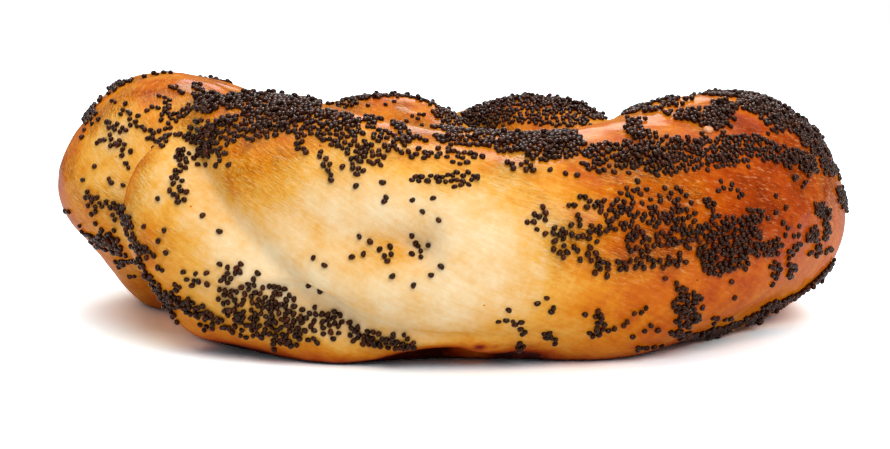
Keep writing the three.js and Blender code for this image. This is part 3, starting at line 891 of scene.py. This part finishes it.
def crust_material():
    """Glazed crust: mottled and streaked along the twist, wrinkled where it is browned."""
    n = Nodes("baked_crust")
    place = n.add("ShaderNodeTexCoord").outputs["Object"]
    bake_and_shade = n.attribute("bake_and_shade")
    grain = n.attribute("grain", "Vector")
    grain_w = n.attribute("grain_w")
    streaks = n.grain(grain, grain_w, scale=26.0, detail=3.0, roughness=0.6)
    # Wrinkles: shorter along the twist, in patches, and fainter on pale and on low crust.
    short = n.add("ShaderNodeVectorMath", {0: grain, 1: (1.0, 1.0, 4.0)}, operation="MULTIPLY").outputs[0]
    short_w = n.math("MULTIPLY", grain_w, 4.0)
    crinkle = n.grain(short, short_w, scale=44.0, detail=2.0, roughness=0.55, distortion=0.4)
    patchy = n.spread(n.noise(place, scale=120, detail=2, roughness=0.5), 0.38, 0.62, 0.25, 1.0)
    strength = n.math("MULTIPLY", patchy, n.spread(bake_and_shade, 0.16, 0.42, 0.12, 1.0))
    strength = n.math("MULTIPLY", strength, n.attribute("wrinkled"))

    # Colour: how brown the crust is, with its painted shade, made uneven by mottling, streaks and a few
    # dark pores; the wrinkles get painted shade in their grooves and a painted highlight on their crests.
    mottle = n.noise(place, scale=260, detail=4, roughness=0.6)
    fine = n.noise(place, scale=1100, detail=3, roughness=0.6)
    tone = n.math("ADD", bake_and_shade, n.spread(mottle, 0.3, 0.7, -0.08, 0.08))
    tone = n.math("ADD", tone, n.spread(fine, 0.3, 0.7, -0.03, 0.03))
    tone = n.math("ADD", tone, n.spread(streaks, 0.3, 0.7, -0.04, 0.04))
    # Painted light on the wrinkles: darker in the grooves, paler on the crests.
    wrinkle_painted_light = n.spread(crinkle, 0.36, 0.64, 0.06, -0.07)
    tone = n.math("ADD", tone, n.math("MULTIPLY", strength, wrinkle_painted_light))
    pores = n.spread(n.pits(place, scale=230.0), 0.02, 0.05, 0.40, 0.0)
    tone = n.math("ADD", tone, pores, clamp=True)
    # A painted highlight: the crests of the wrinkles mixed towards a pale glint colour.
    painted_glints = n.math("MULTIPLY", n.spread(crinkle, 0.56, 0.70, 0.0, 0.45), strength)
    colour = n.mix(painted_glints, n.ramp(tone, CRUST_COLOURS), srgb(PAINTED_GLINT_COLOUR))
    n.put(n.shader.inputs["Base Color"], colour)

    # Browner crust is smoother, under a thin glaze.
    n.put(n.shader.inputs["Roughness"], n.spread(tone, 0.05, 0.6, 0.55, 0.36))
    n.set(Subsurface_Weight=0.04, Subsurface_Radius=(0.004, 0.0018, 0.0008), Subsurface_Scale=0.5)
    n.set(IOR=1.35, Specular_IOR_Level=0.0, Coat_Weight=0.24, Coat_Roughness=0.16)
    normal = n.bump(streaks, n.math("MULTIPLY", strength, 0.45), distance=0.0008)
    normal = n.bump(crinkle, strength, distance=0.0016, normal=normal)
    grit = n.noise(place, scale=1000, detail=4, roughness=0.6)
    normal = n.bump(grit, 0.5, distance=0.0003, normal=normal)
    n.put(n.shader.inputs["Normal"], normal)
    return n.material


def seed_material(name, dark, light):
    """The dry pitted coat of one kind of poppy seed, each seed a little lighter or darker."""
    n = Nodes(name)
    place = n.add("ShaderNodeTexCoord").outputs["Object"]
    tone = n.attribute("tone")
    cells = n.pits(place, scale=5200.0)
    shade = n.math("ADD", n.math("MULTIPLY", tone, 0.7), n.math("MULTIPLY", cells, 0.5), clamp=True)
    n.put(n.shader.inputs["Base Color"], n.ramp(shade, ((0.0, dark), (1.0, light))))
    n.set(Roughness=0.22, Specular_IOR_Level=0.42, Specular_Tint=SEED_GLINT)
    n.put(n.shader.inputs["Normal"], n.bump(cells, 0.3, distance=0.00008))
    return n.material


def grain_material():
    """The pale coat of the stray grain."""
    n = Nodes("pale_grain")
    place = n.add("ShaderNodeTexCoord").outputs["Object"]
    mottle = n.noise(place, scale=1500, detail=2, roughness=0.5)
    n.put(n.shader.inputs["Base Color"], n.ramp(mottle, GRAIN_COLOURS))
    n.set(Roughness=0.4, Specular_IOR_Level=0.3)
    return n.material


# ---------------------------------------------------------------- the object

crust_object = crust_piece(crust_material())
draw = np.random.RandomState(SEED_DRAW)
seed_ring, seed_rope, seed_cover = seed_places(draw)
piled = (seed_cover > PILED_FROM) & (draw.uniform(0, 1, len(seed_ring)) < SEED_PILED)
piled_ring = seed_ring[piled] + draw.normal(0, PILED_SHIFT[0], piled.sum())
piled_rope = seed_rope[piled] + draw.normal(0, PILED_SHIFT[1], piled.sum())
lift = np.concatenate([np.zeros(len(seed_ring)), np.full(len(piled_ring), SEED_LAYER)])
seed_ring = np.concatenate([seed_ring, piled_ring])
seed_rope = np.concatenate([seed_rope, piled_rope])

kind_draw = draw.uniform(0, 1, len(seed_ring))
seed_pieces = []
share_before = 0.0
for kind, (share_after, dark, light) in SEED_KINDS.items():
    mine = (kind_draw >= share_before) & (kind_draw < share_after)
    material = seed_material(kind, dark, light)
    seed_pieces.append(seed_kind(kind, seed_ring[mine], seed_rope[mine], lift[mine], draw, material))
    share_before = share_after

grain_piece = stray_grain(grain_material())

dressed = [(crust_object, "crust"), (grain_piece, "crust")] + [(p, "poppy_seed") for p in seed_pieces]
for piece, slot in dressed:
    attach(piece, "root")
    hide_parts("bagel")

# ---------------------------------------------------------------- floor, light and camera

# The floor's radius, and how far it lies under the bagel, in metres.
FLOOR_RADIUS = 6.0
FLOOR_GAP = 0.00005
BACKDROP_LIGHT, ROOM_LIGHT = 1.0, 0.30
# Azimuth and elevation in degrees, how many degrees broad, and strength. Azimuth 0 is behind the
# camera and 90 at its left.
LIGHTS = {
    "key": (-23, 40, 36, 1.70),
    "overhead": (175, 78, 80, 1.7),
    "window": (196, 66, 11, 0.40),
    "window behind": (184, 30, 18, 0.45),
}
# The camera stands at CAMERA_PLACE, in millimetres, and looks CAMERA_DOWN degrees below level. Its
# focal length is FOCAL_PIXELS of a picture PICTURE_PIXELS wide, on a sensor of SENSOR millimetres.
CAMERA_PLACE = (-1.59, -333.85, 53.6)
CAMERA_DOWN = 6.6
FOCAL_PIXELS, PICTURE_PIXELS = 1860, 890
SENSOR = 36.0


def stage_floor():
    """A plain pale floor, just under the bagel."""
    bpy.ops.mesh.primitive_circle_add(vertices=96, radius=FLOOR_RADIUS, fill_type="NGON",
                                      location=(0, 0, -FLOOR_GAP))
    floor = bpy.context.object
    floor.name = "floor"
    n = Nodes("pale_floor")
    seen = n.add("ShaderNodeLightPath").outputs["Is Camera Ray"]
    n.put(n.shader.inputs["Base Color"], n.mix(seen, FLOOR_NEAR, FLOOR_SEEN))
    n.set(Roughness=0.6, Specular_IOR_Level=0.2)
    floor.data.materials.append(n.material)


def soft_sun(name, azimuth, elevation, breadth, strength):
    """A broad white studio light far away."""
    lamp = bpy.data.lights.new(name, "SUN")
    lamp.angle = math.radians(breadth)
    lamp.energy = strength
    light = bpy.data.objects.new(name, lamp)
    bpy.context.scene.collection.objects.link(light)
    light.rotation_euler = (math.radians(90 - elevation), 0, -math.radians(azimuth))


def world_light(backdrop, room):
    """A white backdrop behind everything, in a dimmer room."""
    world = bpy.data.worlds.new("studio")
    world.use_nodes = True
    tree = world.node_tree
    seen = tree.nodes.new("ShaderNodeLightPath").outputs["Is Camera Ray"]
    level = tree.nodes.new("ShaderNodeMapRange")
    level.inputs["To Min"].default_value = room
    level.inputs["To Max"].default_value = backdrop
    tree.links.new(seen, level.inputs["Value"])
    back = tree.nodes["Background"]
    back.inputs["Color"].default_value = (1, 1, 1, 1)
    tree.links.new(level.outputs["Result"], back.inputs["Strength"])
    bpy.context.scene.world = world


stage_floor()
world_light(BACKDROP_LIGHT, ROOM_LIGHT)
for name, settings in LIGHTS.items():
    soft_sun(name, *settings)

camera = bpy.data.objects.new("camera", bpy.data.cameras.new("camera"))
bpy.context.scene.collection.objects.link(camera)
camera.location = [value * MM for value in CAMERA_PLACE]
camera.rotation_euler = (math.radians(90 - CAMERA_DOWN), 0, 0)
camera.data.sensor_width = SENSOR
camera.data.lens = SENSOR * FOCAL_PIXELS / PICTURE_PIXELS
bpy.context.scene.camera = camera
bpy.context.scene.view_settings.view_transform = "Standard"
